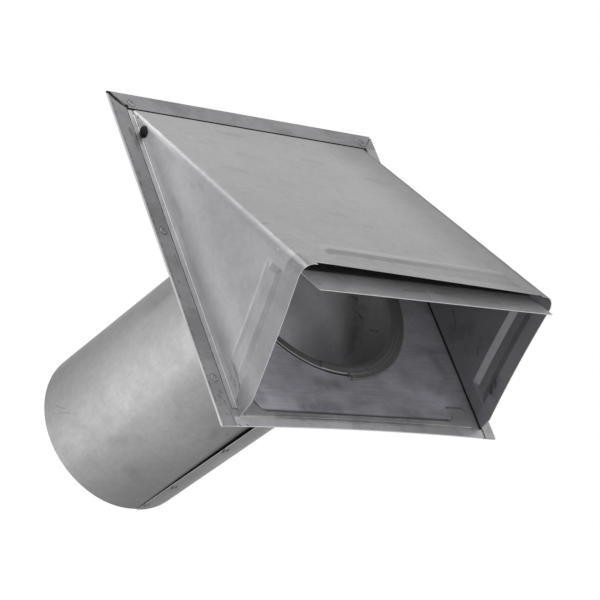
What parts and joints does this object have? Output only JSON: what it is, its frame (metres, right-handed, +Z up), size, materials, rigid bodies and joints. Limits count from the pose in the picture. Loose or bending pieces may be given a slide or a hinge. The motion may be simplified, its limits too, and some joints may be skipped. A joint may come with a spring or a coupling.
{
  "type": "hooded wall vent",
  "caption": "Sheet metal wall vent: framed plate, sloping hood open below, hinged damper flap and a round duct behind the wall.",
  "frame": {"origin": "centre of the duct's hole, on the plane of the wall plate's back face", "axes": "+Y from the open air into the wall, square to the wall plate; +Z up; +X to the right seen from the open air"},
  "size_m": [0.282, 0.4045, 0.3061],
  "materials": {
    "galvanised_steel": "dull galvanised sheet, smudged",
    "plain_steel": "plain drawn wire",
    "black_plastic": "glossy moulded"
  },
  "bodies": {
    "housing": {"wall_plate": "galvanised_steel", "hood": "galvanised_steel", "duct": "galvanised_steel", "hinge_bushes": "black_plastic"},
    "damper": {"damper_flap": "galvanised_steel", "hinge_rod": "plain_steel"}
  },
  "joints": [
    {"name": "damper_hinge", "type": "hinge", "parent": "housing", "child": "damper", "pos_m": [0, -0.0063, 0.1267], "axis": [1, 0, 0], "range_deg": [-1, 26]}
  ]
}
